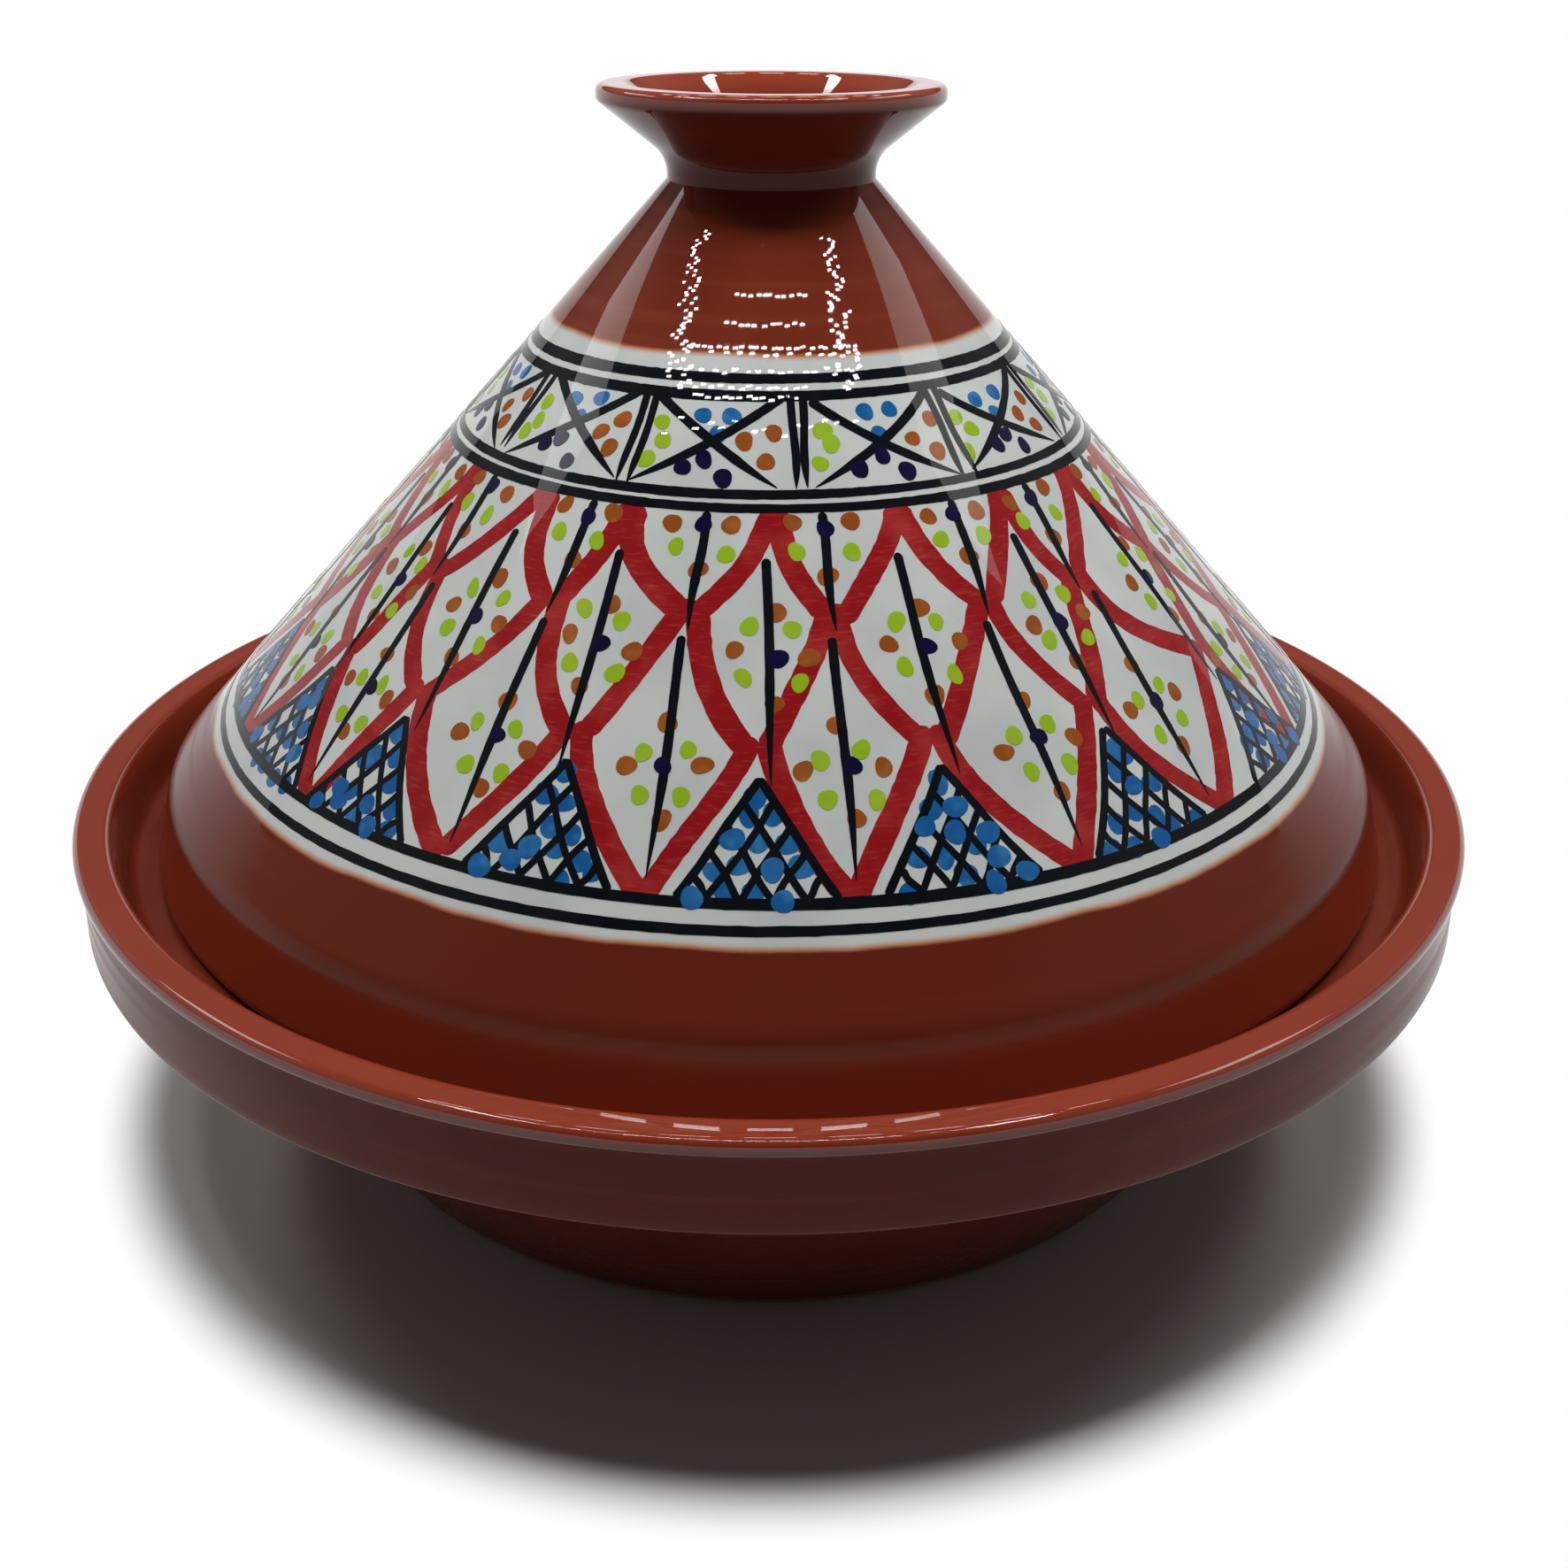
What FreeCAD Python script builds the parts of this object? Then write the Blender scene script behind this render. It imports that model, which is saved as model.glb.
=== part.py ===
import FreeCAD, Part
import math
import os
import Sketcher

# A tagine: a wide earthenware dish with a rolled rim and a lid seat, under a tall conical lid
# that ends in a cup-shaped knob. All lengths are in millimetres.
# The origin is on the pot's axis, on the table that the foot stands on, and +Z points up.

# Driving sizes: alias, value, what it measures.
SIZES = [
    ("rim_diameter", 320.0, "outside of the rolled lip"),
    ("dish_height", 82.0, "table to the top of the lip"),
    ("rim_band", 19.8, "height of the upright band, lip included"),
    ("lip_width", 7.6, "width of the lip from outside to inside"),
    ("lip_depth", 3.4, "thickness of the lip's outer bead"),
    ("lip_overhang", 1.2, "how far the bead stands out from the band"),
    ("band_flare", 0.7, "how much wider the band is at its lower edge"),
    ("band_ledge", 20.5, "width of the ledge under the band"),
    ("foot_diameter", 211.0, "outside of the foot"),
    ("foot_ring", 14.0, "width of the ring that stands on the table"),
    ("foot_recess", 2.5, "depth of the turned recess inside the ring"),
    ("flank_swell", 1.5, "bulge of the flank beyond a straight cone"),
    ("floor_thickness", 10.0, "clay under the cooking floor"),
    ("floor_inset", 1.5, "cooking floor's edge inside the foot's edge"),
    ("seat_depth", 13.5, "lid seat below the top of the lip"),
    ("seat_width", 18.0, "width of the lid seat"),
    ("rim_draft", 3.4, "lean of the rim's inner wall"),
    ("lid_gap", 5.0, "free gap round the lid on its seat"),
    ("lid_height", 144.1, "seat to the joint with the knob"),
    ("lid_wall", 8.0, "thickness of the cone's wall"),
    ("lid_lip", 10.0, "thickness of the lid's lip"),
    ("shoulder_inset", 5.0, "cone's foot inside the lip's outside"),
    ("shoulder_height", 18.7, "height of the lip"),
    ("neck_diameter", 44.2, "narrowest place, where the knob is luted on"),
    ("knob_diameter", 73.0, "outside of the knob's rim"),
    ("knob_height", 18.9, "neck to the top of the knob"),
    ("stem_height", 4.5, "straight stem under the flare"),
    ("knob_edge", 3.2, "height of the knob's rim"),
    ("knob_lip", 6.0, "width of the knob's rim"),
    ("cup_depth", 12.0, "depth of the cup in the knob"),
    ("cup_floor", 26.0, "diameter of the cup's floor"),
]

# Roundings of the thrown and turned corners: alias, radius, which corner.
ROUNDINGS = [
    ("recess_round", 1.2, "edges of the foot's recess"),
    ("foot_round", 5.0, "outer edge of the foot"),
    ("flank_round", 200.0, "swell of the flank"),
    ("ledge_round", 6.0, "inner corner under the band"),
    ("band_round", 1.2, "lower edge of the band"),
    ("bead_round", 1.0, "underside of the bead"),
    ("lip_outer_round", 1.9, "outside of the lip"),
    ("lip_inner_round", 2.2, "inside of the lip"),
    ("seat_round", 3.5, "outer corner of the seat"),
    ("mouth_round", 3.0, "edge of the cooking bowl"),
    ("bowl_round", 40.0, "corner of the cooking bowl"),
    ("shoulder_round", 10.0, "turn from cone to lip"),
    ("lid_outer_round", 3.0, "outside of the lid's lip"),
    ("lid_inner_round", 2.0, "inside of the lid's lip"),
    ("lid_throat_round", 6.0, "turn from lip to the inside of the cone"),
    ("neck_round", 7.0, "hollow of the knob's neck"),
    ("knob_under_round", 1.4, "lower edge of the knob's rim"),
    ("knob_outer_round", 1.6, "outside of the knob's rim"),
    ("knob_inner_round", 2.2, "inside of the knob's rim"),
    ("cup_round", 8.0, "corner of the cup's floor"),
]

# Sizes that follow from the driving ones: alias, formula.
FORMULAS = [
    ("rim_radius", "rim_diameter / 2"),
    ("foot_radius", "foot_diameter / 2"),
    ("ring_radius", "foot_radius - foot_ring"),
    ("ledge_level", "dish_height - rim_band"),
    ("bead_level", "dish_height - lip_depth"),
    ("band_top_radius", "rim_radius - lip_overhang"),
    ("band_low_radius", "band_top_radius + band_flare"),
    ("ledge_radius", "band_low_radius - band_ledge"),
    ("flank_radius", "(foot_radius + ledge_radius) / 2 + flank_swell"),
    ("flank_level", "ledge_level / 2 - flank_swell"),
    ("rim_inner_radius", "rim_radius - lip_width"),
    ("seat_level", "dish_height - seat_depth"),
    ("seat_radius", "rim_inner_radius - rim_draft"),
    ("mouth_radius", "seat_radius - seat_width"),
    ("floor_level", "foot_recess + floor_thickness"),
    ("floor_radius", "foot_radius - floor_inset"),
    ("lid_radius", "seat_radius - lid_gap"),
    ("lid_inner_radius", "lid_radius - lid_lip"),
    ("shoulder_radius", "lid_radius - shoulder_inset"),
    ("shoulder_level", "seat_level + shoulder_height"),
    ("neck_level", "seat_level + lid_height"),
    ("neck_radius", "neck_diameter / 2"),
    ("cone_lean", "(shoulder_radius - neck_radius) / (neck_level - shoulder_level)"),
    ("cone_inset", "lid_wall * sqrt(1 + cone_lean ^ 2)"),
    ("throat_radius", "neck_radius - cone_inset"),
    ("throat_level", "shoulder_level + (shoulder_radius - cone_inset - lid_inner_radius) / cone_lean"),
    ("knob_radius", "knob_diameter / 2"),
    ("stem_level", "neck_level + stem_height"),
    ("knob_level", "neck_level + knob_height"),
    ("knob_edge_level", "knob_level - knob_edge"),
    ("knob_inner_radius", "knob_radius - knob_lip"),
    ("cup_level", "knob_level - cup_depth"),
    ("cup_radius", "cup_floor / 2"),
]

# Outlines of the three thrown pieces, as corners: radius, level, rounding.
# No radius means a corner on the pot's axis, and no level means a corner on the table.
DISH = [
    (None, "foot_recess", None),
    ("ring_radius", "foot_recess", "recess_round"),
    ("ring_radius", None, "recess_round"),
    ("foot_radius", None, "foot_round"),
    ("flank_radius", "flank_level", "flank_round"),
    ("ledge_radius", "ledge_level", "ledge_round"),
    ("band_low_radius", "ledge_level", "band_round"),
    ("band_top_radius", "bead_level", None),
    ("rim_radius", "bead_level", "bead_round"),
    ("rim_radius", "dish_height", "lip_outer_round"),
    ("rim_inner_radius", "dish_height", "lip_inner_round"),
    ("seat_radius", "seat_level", "seat_round"),
    ("mouth_radius", "seat_level", "mouth_round"),
    ("floor_radius", "floor_level", "bowl_round"),
    (None, "floor_level", None),
]
CONE = [
    ("throat_radius", "neck_level", None),
    ("lid_inner_radius", "throat_level", "lid_throat_round"),
    ("lid_inner_radius", "seat_level", "lid_inner_round"),
    ("lid_radius", "seat_level", "lid_outer_round"),
    ("shoulder_radius", "shoulder_level", "shoulder_round"),
    ("neck_radius", "neck_level", None),
]
KNOB = [
    (None, "neck_level", None),
    ("neck_radius", "neck_level", None),
    ("neck_radius", "stem_level", "neck_round"),
    ("knob_radius", "knob_edge_level", "knob_under_round"),
    ("knob_radius", "knob_level", "knob_outer_round"),
    ("knob_inner_radius", "knob_level", "knob_inner_round"),
    ("cup_radius", "cup_level", "cup_round"),
    (None, "cup_level", None),
]

# Names that the sketcher gives to its fixed geometry and to the ends of a line or an arc.
TABLE_LINE = -1
AXIS_LINE = -2
START = 1
END = 2


def fill_sheet(document):
    """Make the spreadsheet of driving sizes, roundings and formulas."""
    sheet = document.addObject("Spreadsheet::Sheet", "Sizes")
    rows = [(alias, str(value), note) for alias, value, note in SIZES + ROUNDINGS]
    rows += [(alias, "=" + formula, "worked out") for alias, formula in FORMULAS]
    for number, (alias, content, note) in enumerate(rows, start=1):
        sheet.set(f"A{number}", note)
        sheet.set(f"B{number}", content)
        sheet.setAlias(f"B{number}", alias)
    document.recompute()
    return sheet


def size_of(sheet, alias):
    """Value of a cell, or zero where a corner lies on the axis or on the table."""
    if alias is None:
        return 0.0
    return float(sheet.get(alias))


def bind(sketch, constraint, alias):
    """Add a constraint that takes its size from the spreadsheet."""
    number = sketch.addConstraint(constraint)
    sketch.setExpression(f"Constraints[{number}]", f"Sizes.{alias}")


def place(sketch, sheet, element, corner):
    """Hold one point of the sketch at a corner's radius and level."""
    radius, level, _ = corner
    if radius is None:
        sketch.addConstraint(Sketcher.Constraint("PointOnObject", element, START, AXIS_LINE))
    else:
        reach = size_of(sheet, radius)
        bind(sketch, Sketcher.Constraint("DistanceX", TABLE_LINE, START, element, START, reach), radius)
    if level is None:
        sketch.addConstraint(Sketcher.Constraint("PointOnObject", element, START, TABLE_LINE))
    else:
        height = size_of(sheet, level)
        bind(sketch, Sketcher.Constraint("DistanceY", TABLE_LINE, START, element, START, height), level)


def rounded(before, corner, after, radius):
    """Tangent points and centre of an arc that rounds a corner."""
    back = (before - corner).normalize()
    ahead = (after - corner).normalize()
    half = back.getAngle(ahead) / 2
    reach = radius / math.tan(half)
    middle = (back + ahead).normalize()
    return corner + back * reach, corner + ahead * reach, corner + middle * (radius / math.sin(half))


def arc_between(start, end, centre, radius):
    """Arc from start to end, and which of its ends lies at the start."""
    turn = (start - centre).cross(end - centre).z
    first, last = (start, end) if turn > 0 else (end, start)
    angles = [math.atan2(point.y - centre.y, point.x - centre.x) for point in (first, last)]
    circle = Part.Circle(centre, FreeCAD.Vector(0, 0, 1), radius)
    ends = (START, END) if turn > 0 else (END, START)
    return Part.ArcOfCircle(circle, *angles), ends


def draw_outline(sketch, sheet, corners):
    """Draw a closed outline whose straight runs meet in sharp or rounded corners."""
    points = []
    for radius, level, _ in corners:
        points.append(FreeCAD.Vector(size_of(sheet, radius), size_of(sheet, level), 0))
    count = len(points)
    arrivals = list(points)
    departures = list(points)
    centres = [None] * count
    for i, (_, _, rounding) in enumerate(corners):
        if rounding is not None:
            after = points[(i + 1) % count]
            found = rounded(points[i - 1], points[i], after, size_of(sheet, rounding))
            arrivals[i], departures[i], centres[i] = found
    runs = []
    for i in range(count):
        run = Part.LineSegment(departures[i], arrivals[(i + 1) % count])
        runs.append(sketch.addGeometry(run, False))
    for i, corner in enumerate(corners):
        rounding = corner[2]
        incoming, outgoing = runs[i - 1], runs[i]
        if rounding is None:
            sketch.addConstraint(Sketcher.Constraint("Coincident", incoming, END, outgoing, START))
            place(sketch, sheet, outgoing, corner)
            continue
        apex = sketch.addGeometry(Part.Point(points[i]), True)
        place(sketch, sheet, apex, corner)
        sketch.addConstraint(Sketcher.Constraint("PointOnObject", apex, START, incoming))
        sketch.addConstraint(Sketcher.Constraint("PointOnObject", apex, START, outgoing))
        radius = size_of(sheet, rounding)
        curve, (near, far) = arc_between(arrivals[i], departures[i], centres[i], radius)
        arc = sketch.addGeometry(curve, False)
        sketch.addConstraint(Sketcher.Constraint("Tangent", incoming, END, arc, near))
        sketch.addConstraint(Sketcher.Constraint("Tangent", arc, far, outgoing, START))
        bind(sketch, Sketcher.Constraint("Radius", arc, radius), rounding)


def throw_piece(document, sheet, name, corners):
    """Turn an outline about the pot's axis, as on the wheel, into a body of its own."""
    body = document.addObject("PartDesign::Body", name)
    body.Label = name
    sketch = body.newObject("Sketcher::SketchObject", name + "_outline")
    upright = next(plane for plane in body.Origin.OriginFeatures if plane.Role == "XZ_Plane")
    sketch.AttachmentSupport = [(upright, "")]
    sketch.MapMode = "FlatFace"
    document.recompute()
    draw_outline(sketch, sheet, corners)
    document.recompute()
    turned = body.newObject("PartDesign::Revolution", name + "_turned")
    turned.Profile = sketch
    turned.ReferenceAxis = (sketch, ["V_Axis"])
    turned.Angle = 360.0
    body.Tip = turned
    document.recompute()
    return body


def check_document(document, bodies):
    """Stop if any feature failed, a sketch is loose or a body isn't one sound solid."""
    for item in document.Objects:
        if "Invalid" in item.State or "Error" in item.State:
            raise RuntimeError(f"{item.Name} failed: {item.State}")
        if item.TypeId == "Sketcher::SketchObject" and not item.FullyConstrained:
            raise RuntimeError(f"{item.Name} is not fully constrained")
    for body in bodies:
        if body.Shape.isNull() or not body.Shape.isValid() or len(body.Shape.Solids) != 1:
            raise RuntimeError(f"{body.Label} is not one sound solid")


def main():
    document = FreeCAD.newDocument("Tagine")
    sheet = fill_sheet(document)
    bodies = [
        throw_piece(document, sheet, "base_dish", DISH),
        throw_piece(document, sheet, "lid_cone", CONE),
        throw_piece(document, sheet, "lid_knob", KNOB),
    ]
    document.recompute()
    check_document(document, bodies)
    os.makedirs("parts", exist_ok=True)
    for body in bodies:
        body.Shape.exportStep(f"parts/{body.Label}.step")
        box = body.Shape.optimalBoundingBox()
        print(f"{body.Label}: {box.XLength:.1f} mm across, {box.ZMin:.1f} to {box.ZMax:.1f} mm high, "
              f"{body.Shape.Volume / 1000:.0f} cm3")


main()
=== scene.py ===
import bmesh
import bpy
import math
import random
from mathutils import Matrix, Vector


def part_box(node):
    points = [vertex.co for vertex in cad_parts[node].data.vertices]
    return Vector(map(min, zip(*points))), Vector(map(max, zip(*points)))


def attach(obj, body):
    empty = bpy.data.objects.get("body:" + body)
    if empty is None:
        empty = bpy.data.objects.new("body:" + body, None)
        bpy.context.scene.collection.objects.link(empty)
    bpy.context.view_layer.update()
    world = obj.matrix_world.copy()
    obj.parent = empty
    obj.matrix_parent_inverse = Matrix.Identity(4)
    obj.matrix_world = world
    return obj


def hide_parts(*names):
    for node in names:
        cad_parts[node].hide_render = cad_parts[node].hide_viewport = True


# A glazed and hand-painted tagine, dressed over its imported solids. Lengths are in metres.
# Angles round the pot are in degrees, from the side that faces the camera, growing to the right.
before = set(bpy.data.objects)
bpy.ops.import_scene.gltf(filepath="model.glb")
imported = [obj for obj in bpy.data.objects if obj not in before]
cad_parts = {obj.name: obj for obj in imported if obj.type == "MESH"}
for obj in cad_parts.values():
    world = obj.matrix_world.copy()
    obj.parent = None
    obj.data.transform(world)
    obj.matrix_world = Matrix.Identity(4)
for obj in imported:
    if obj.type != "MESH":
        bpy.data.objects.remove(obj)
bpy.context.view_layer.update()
for leftover in ("Cube", "Light", "Camera"):
    if leftover in bpy.data.objects:
        bpy.data.objects.remove(bpy.data.objects[leftover])

MM = 0.001
FULL_TURN = 6.28
ON_AXIS = 1e-6
CUT_TOLERANCE = 1e-7
random.seed(19)


# Colours, written as they look and turned into the linear values that shaders take.
def colour(red, green, blue):
    """Linear colour from the usual 0 to 255 values."""
    linear = []
    for value in (red, green, blue):
        share = value / 255
        linear.append(share / 12.92 if share <= 0.04045 else ((share + 0.055) / 1.055) ** 2.4)
    return (*linear, 1.0)


BROWN_GLAZE = colour(112, 45, 29)
BROWN_DARK = colour(93, 34, 21)
BROWN_LIGHT = colour(142, 66, 41)
BROWN_THIN_AND_LIT = colour(138, 52, 32)
# A lighter brown: glaze running thin on the rims, and painted light on the lid's lip.
BARE_CLAY = colour(174, 104, 70)
BARE_CLAY_DARK = colour(147, 82, 54)
WHITE_SLIP = colour(190, 196, 194)
WHITE_SHADE = colour(177, 183, 184)
EDGE_STAIN = colour(177, 119, 86)
RED_PAINT = colour(138, 22, 27)
RED_THIN = colour(172, 62, 58)
BLACK_PAINT = colour(13, 17, 21)
BLACK_THIN = colour(25, 30, 35)
NAVY_PAINT = colour(16, 15, 46)
NAVY_THIN = colour(29, 28, 76)
BLUE_PAINT = colour(22, 84, 144)
BLUE_THIN = colour(62, 130, 182)
GREEN_PAINT = colour(138, 172, 30)
GREEN_THIN = colour(158, 186, 66)
AMBER_PAINT = colour(138, 72, 26)
AMBER_THIN = colour(170, 106, 56)


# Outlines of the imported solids
def outline_of(node):
    """Section of a turned solid: its (radius, level) points in order, from the axis or the inside."""
    cut = bmesh.new()
    cut.from_mesh(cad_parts[node].data)
    everything = cut.verts[:] + cut.edges[:] + cut.faces[:]
    made = bmesh.ops.bisect_plane(cut, geom=everything, plane_co=(0, 0, 0), plane_no=(0, 1, 0),
                                  dist=CUT_TOLERANCE)
    neighbours = {}
    for edge in made["geom_cut"]:
        if not isinstance(edge, bmesh.types.BMEdge):
            continue
        ends = [(round(v.co.x, 6), round(v.co.z, 6)) for v in edge.verts]
        if min(ends[0][0], ends[1][0]) < -ON_AXIS or ends[0] == ends[1]:
            continue
        neighbours.setdefault(ends[0], set()).add(ends[1])
        neighbours.setdefault(ends[1], set()).add(ends[0])
    cut.free()
    ring = [min(neighbours)]
    while True:
        ahead = [point for point in neighbours[ring[-1]] if point not in ring]
        if not ahead:
            break
        ring.append(min(ahead, key=lambda point: point[1]) if len(ring) == 1 else ahead[0])
    return ring


def resampled(ring, step):
    """Points along a chain of (radius, level) points, no further apart than step."""
    points = []
    for (r0, z0), (r1, z1) in zip(ring, ring[1:]):
        pieces = max(1, math.ceil(math.hypot(r1 - r0, z1 - z0) / step))
        for i in range(pieces):
            share = i / pieces
            points.append((r0 + (r1 - r0) * share, z0 + (z1 - z0) * share))
    points.append(ring[-1])
    return points


def thinned(ring, least):
    """The chain without points closer than least to the one before."""
    kept = [ring[0]]
    for point in ring[1:]:
        if math.hypot(point[0] - kept[-1][0], point[1] - kept[-1][1]) >= least:
            kept.append(point)
    kept[-1] = ring[-1]
    return kept


# Meshes
def spun(name, ring, closed, segments):
    """Turn a chain of (radius, level) points into a mesh."""
    vertices = []
    rows = []
    for radius, level in ring:
        if radius < ON_AXIS:
            rows.append([len(vertices)])
            vertices.append((0.0, 0.0, level))
            continue
        row = []
        for k in range(segments):
            turn = 2 * math.pi * k / segments
            row.append(len(vertices))
            vertices.append((radius * math.sin(turn), -radius * math.cos(turn), level))
        rows.append(row)
    faces = []
    pairs = list(zip(rows, rows[1:]))
    if closed:
        pairs.append((rows[-1], rows[0]))
    for lower, upper in pairs:
        for k in range(segments):
            ahead = (k + 1) % segments
            if len(lower) == 1 and len(upper) == 1:
                continue
            if len(lower) == 1:
                faces.append((lower[0], upper[ahead], upper[k]))
            elif len(upper) == 1:
                faces.append((lower[k], lower[ahead], upper[0]))
            else:
                faces.append((lower[k], lower[ahead], upper[ahead], upper[k]))
    mesh = bpy.data.meshes.new(name)
    mesh.from_pydata(vertices, [], faces)
    return finished(name, mesh)


def finished(name, mesh, sharp=40):
    """Object in the scene from a mesh, with sound normals and smooth shading."""
    tidy = bmesh.new()
    tidy.from_mesh(mesh)
    bmesh.ops.recalc_face_normals(tidy, faces=tidy.faces)
    tidy.to_mesh(mesh)
    tidy.free()
    mesh.shade_smooth()
    mesh.set_sharp_from_angle(angle=math.radians(sharp))
    piece = bpy.data.objects.new(name, mesh)
    bpy.context.scene.collection.objects.link(piece)
    return piece


# The outside of the lid's cone, which carries all the painting
ABOVE_LIP = 100 * MM
lid_ring = outline_of("lid_cone")
NECK_RADIUS, NECK_LEVEL = lid_ring[-1]
cone_foot = max(point for point in lid_ring if point[0] > NECK_RADIUS and point[1] > ABOVE_LIP)
CONE_FALL = (NECK_LEVEL - cone_foot[1]) / (cone_foot[0] - NECK_RADIUS)
CONE_APEX = NECK_LEVEL + CONE_FALL * NECK_RADIUS
CONE_OUT = CONE_FALL / math.hypot(1, CONE_FALL)
CONE_UP = 1 / math.hypot(1, CONE_FALL)


def cone_level(radius):
    """Level of the cone's outside at a radius."""
    return CONE_APEX - CONE_FALL * radius


def cone_normal(angle):
    """Direction straight out of the cone's outside."""
    turn = math.radians(angle)
    return Vector((CONE_OUT * math.sin(turn), -CONE_OUT * math.cos(turn), CONE_UP))


def on_cone(angle, radius, lift=0.0):
    """Point on the lid, lifted off its surface."""
    turn = math.radians(angle)
    base = Vector((radius * math.sin(turn), -radius * math.cos(turn), cone_level(radius)))
    return base + cone_normal(angle) * lift


def settled(point, lift):
    """The point of the lid that lies under a point near it, lifted off the surface."""
    reach = math.hypot(point.x, point.y)
    gap = (reach - (CONE_APEX - point.z) / CONE_FALL) * CONE_OUT
    return on_cone(math.degrees(math.atan2(point.x, -point.y)), reach - gap * CONE_OUT, lift)


# Brush work: flat strokes and dabs of enamel, a hair's breadth proud of the lid
DAB_RINGS = (1.0, 0.5)
DAB_CORNERS = 16
CAP_STEPS = (0.0, 0.07, 0.3, 0.65)
POINT_STEP = 1.6 * MM
LEAST_POINTS = 6
RAGGED = 0.05
SUNK = -0.05 * MM
DAB_LEAN = 0.5
DAB_OVAL = 0.07
DAB_CORNERED = 0.05
CAP_WIDTH = 0.02
POINT_WIDTH = 0.1
POINT_POWER = 0.6
WAVER_PACE = (4.0, 7.0)
HAND_WAVER = 0.25 * MM
HAND_SPREAD = (0.88, 1.12)
HAND_MISS = 0.5 * MM


def brushed(paint, path, widths, rise, closed=False):
    """Lay a stroke along (angle, radius) points, with a width at each."""
    points = [on_cone(angle, radius) for angle, radius in path]
    count = len(points)
    rows = []
    for i in range(count):
        before = points[i - 1] if i or closed else points[i]
        after = points[(i + 1) % count] if closed or i + 1 < count else points[i]
        across = cone_normal(path[i][0]).cross(after - before).normalized() * (widths[i] / 2)
        row = [paint.verts.new(settled(points[i] + across * side, rise)) for side in (-1, 0, 1)]
        row += [paint.verts.new(settled(points[i] + across * side, SUNK)) for side in (1, -1)]
        rows.append(row)
    pairs = list(zip(rows, rows[1:]))
    if closed:
        pairs.append((rows[-1], rows[0]))
    for row, beyond in pairs:
        for k in range(len(row)):
            ahead = (k + 1) % len(row)
            paint.faces.new((row[k], row[ahead], beyond[ahead], beyond[k]))
    if not closed:
        paint.faces.new(rows[0])
        paint.faces.new(rows[-1])


def dabbed(paint, angle, radius, wide, tall, rise):
    """Touch down one round dab of the brush."""
    normal = cone_normal(angle)
    along = Vector((math.cos(math.radians(angle)), math.sin(math.radians(angle)), 0))
    down = along.cross(normal)
    lean = random.uniform(-DAB_LEAN, DAB_LEAN)
    two, three = random.uniform(0, FULL_TURN), random.uniform(0, FULL_TURN)
    centre = on_cone(angle, radius)
    edge = []
    for k in range(DAB_CORNERS):
        turn = 2 * math.pi * k / DAB_CORNERS
        reach = 1 + DAB_OVAL * math.sin(2 * turn + two) + DAB_CORNERED * math.sin(3 * turn + three)
        u = math.cos(turn) * wide / 2 * reach
        v = math.sin(turn) * tall / 2 * reach
        edge.append(along * (u * math.cos(lean) - v * math.sin(lean))
                    + down * (u * math.sin(lean) + v * math.cos(lean)))
    rows = [[paint.verts.new(settled(centre + spoke, SUNK)) for spoke in edge]]
    for share in DAB_RINGS:
        rows.append([paint.verts.new(settled(centre + spoke * share, rise)) for spoke in edge])
    top = paint.verts.new(settled(centre, rise))
    for row, beyond in zip(rows, rows[1:]):
        for k in range(DAB_CORNERS):
            ahead = (k + 1) % DAB_CORNERS
            paint.faces.new((row[k], row[ahead], beyond[ahead], beyond[k]))
    for k in range(DAB_CORNERS):
        paint.faces.new((rows[-1][k], rows[-1][(k + 1) % DAB_CORNERS], top))
    paint.faces.new(rows[0])


def stroke_shares(length, width, blunt):
    """Where along a stroke its points lie, as shares: close together at a round end."""
    cap = width / 2 / length
    even = max(LEAST_POINTS, int(length / POINT_STEP))
    shares = [cap * step for step in CAP_STEPS]
    shares += [cap + (1 - 2 * cap) * i / even for i in range(even + 1)]
    shares += [1 - cap * step for step in reversed(CAP_STEPS)] if blunt else [1.0]
    return shares


def tapered(shares, length, width, drawn_out):
    """Widths along a stroke: round where it starts, round or drawn out to a point where it ends."""
    cap = width / 2 / length
    widths = []
    for share in shares:
        swell = math.sqrt(max(CAP_WIDTH, 1 - max(0.0, 1 - share / cap) ** 2))
        if drawn_out and share > 1 - drawn_out:
            swell *= max(POINT_WIDTH, ((1 - share) / drawn_out) ** POINT_POWER)
        elif not drawn_out:
            swell *= math.sqrt(max(CAP_WIDTH, 1 - max(0.0, 1 - (1 - share) / cap) ** 2))
        widths.append(width * swell * (1 + random.uniform(-RAGGED, RAGGED)))
    return widths


def curve_between(start, end, shares, hang):
    """(angle, radius) points from start to end; hang above 1 keeps the first part steep."""
    turn, drop = end[0] - start[0], end[1] - start[1]
    return [(start[0] + turn * share ** hang, start[1] + drop * share) for share in shares]


def wavered(path, shares, amount):
    """A stroke's path with the slow waver of a hand."""
    lean, pace = random.uniform(0, FULL_TURN), random.uniform(*WAVER_PACE)
    moved = []
    for share, (angle, radius) in zip(shares, path):
        drift = amount * math.sin(lean + pace * share) / radius
        moved.append((angle + math.degrees(drift), radius))
    return moved


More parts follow.
